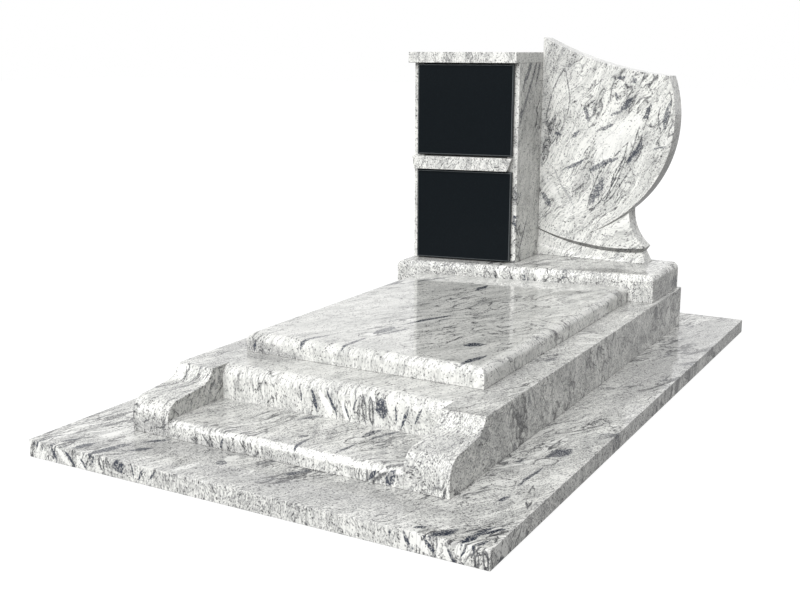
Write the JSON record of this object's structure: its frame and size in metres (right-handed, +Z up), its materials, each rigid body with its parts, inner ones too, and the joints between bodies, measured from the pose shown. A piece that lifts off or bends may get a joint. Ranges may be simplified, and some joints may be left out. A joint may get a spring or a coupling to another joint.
{
  "type": "grave monument",
  "caption": "Polished granite grave monument: base slab, kerbs with ogee ends, front step, tomb slab, turned socle, niche tower with black door plates and carved stele.",
  "frame": {"origin": "middle of the base slab's underside, on the ground", "axes": "+X across the grave, to the right as seen from its foot; +Y from the foot to the head; +Z up"},
  "size_m": [1.4, 2.4, 1.15],
  "materials": {
    "veined_granite": "polished light grey granite with dark flowing veins",
    "black_granite": "polished black granite"
  },
  "bodies": {
    "root": {"base_slab": "veined_granite", "left_kerb": "veined_granite", "right_kerb": "veined_granite", "back_kerb": "veined_granite", "front_step": "veined_granite", "front_kerb": "veined_granite", "tomb_slab": "veined_granite", "socle": "veined_granite", "left_panel": "veined_granite", "right_panel": "veined_granite", "back_panel": "veined_granite", "middle_shelf": "veined_granite", "top_slab": "veined_granite", "lower_door": "black_granite", "upper_door": "black_granite", "stele": "veined_granite"}
  },
  "joints": []
}
